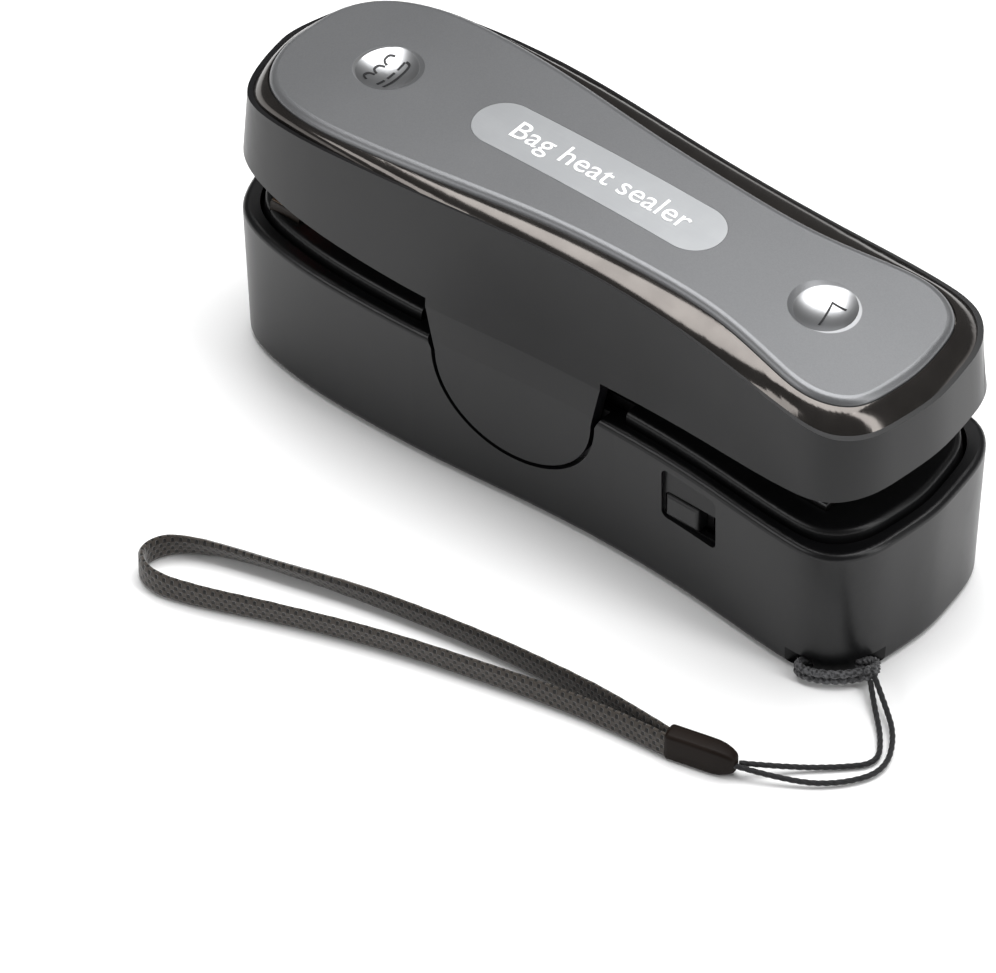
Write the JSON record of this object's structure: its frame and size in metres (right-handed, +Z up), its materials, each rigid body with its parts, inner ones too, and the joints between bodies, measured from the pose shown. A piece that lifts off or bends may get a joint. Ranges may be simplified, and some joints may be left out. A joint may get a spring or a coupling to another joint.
{
  "type": "handheld bag heat sealer",
  "caption": "Rocker-arm bag sealer: one end presses a heated strip, the other a cutter; rechargeable base with a slide switch and a wrist strap.",
  "frame": {"origin": "centre of the base's footprint on the surface it stands on", "axes": "+X towards the cutter end, +Y away from the slide switch, +Z up"},
  "size_m": [0.1233, 0.0772, 0.048],
  "materials": {
    "case": "fine matte moulding",
    "deck": "matte moulding",
    "bezel": "glossy black",
    "panel": "satin grey",
    "label": "silver plate",
    "screws": "zinc plated",
    "heater": "heat-proof moulding",
    "strip": "rolled resistance ribbon",
    "terminals": "bright",
    "tape": "non-stick coated glass cloth",
    "anvil": "matte",
    "steel": "ground",
    "battery": "foil pouch",
    "board": "green solder mask",
    "switch": "moulded body",
    "chip": "moulded package",
    "port": "drawn shell",
    "lens": "clear light pipe",
    "knob": "fine matte moulding",
    "plunger": "moulded",
    "spring": "spring wire",
    "silicone": "red silicone",
    "blade": "ground edge",
    "cord": "thin braided cord",
    "clasp": "dark brown-black",
    "band": "flat woven band"
  },
  "bodies": {
    "base": {"base_shell": "case", "base_deck": "deck", "bottom_cover": "case", "cover_screws": "screws", "heater_block": "heater", "heating_strip": "strip", "heater_terminals": "terminals", "ptfe_tape": "tape", "cutting_anvil": "anvil", "pivot_pin": "steel", "battery": "battery", "circuit_board": "board", "press_switch": "switch", "charge_chip": "chip", "usb_port": "port", "charge_light": "chip", "indicator_lens": "lens", "slide_switch": "switch", "seal_spring": "spring", "cut_spring": "spring", "strap_hitch": "cord", "strap_cord_inner": "cord", "strap_cord_outer": "cord", "strap_clasp": "clasp", "strap_band": "band"},
    "arm": {"arm_shell": "case", "bezel": "bezel", "top_panel": "panel", "label_plate": "label", "arm_screws": "screws", "pad_holder": "deck", "silicone_pad": "silicone", "cutter_blade": "blade", "blade_holder": "deck", "blade_clamp": "deck", "blade_screws": "screws"},
    "switch_knob": {"switch_knob": "knob"},
    "seal_plunger": {"seal_plunger": "plunger"},
    "cut_plunger": {"cut_plunger": "plunger"}
  },
  "joints": [
    {"name": "arm_rock", "type": "hinge", "parent": "base", "child": "arm", "pos_m": [-0.002, 0, 0.0204], "axis": [0, 1, 0], "range_deg": [-6.2, 7], "stiffness_Nm_per_rad": 1},
    {"name": "power_switch", "type": "slide", "parent": "base", "child": "switch_knob", "axis": [1, 0, 0], "range_m": [0, 0.003]},
    {"name": "seal_plunger_slide", "type": "slide", "parent": "base", "child": "seal_plunger", "axis": [0, 0, 1], "range_m": [-0.00153, 0.00172], "deforming": ["seal_spring"]},
    {"name": "cut_plunger_slide", "type": "slide", "parent": "base", "child": "cut_plunger", "axis": [0, 0, 1], "range_m": [-0.00172, 0.00153], "deforming": ["cut_spring"]}
  ],
  "couplings": [
    {"joint": "seal_plunger_slide", "follows": "arm_rock", "m_per_rad": 0.014},
    {"joint": "cut_plunger_slide", "follows": "arm_rock", "m_per_rad": -0.014}
  ]
}
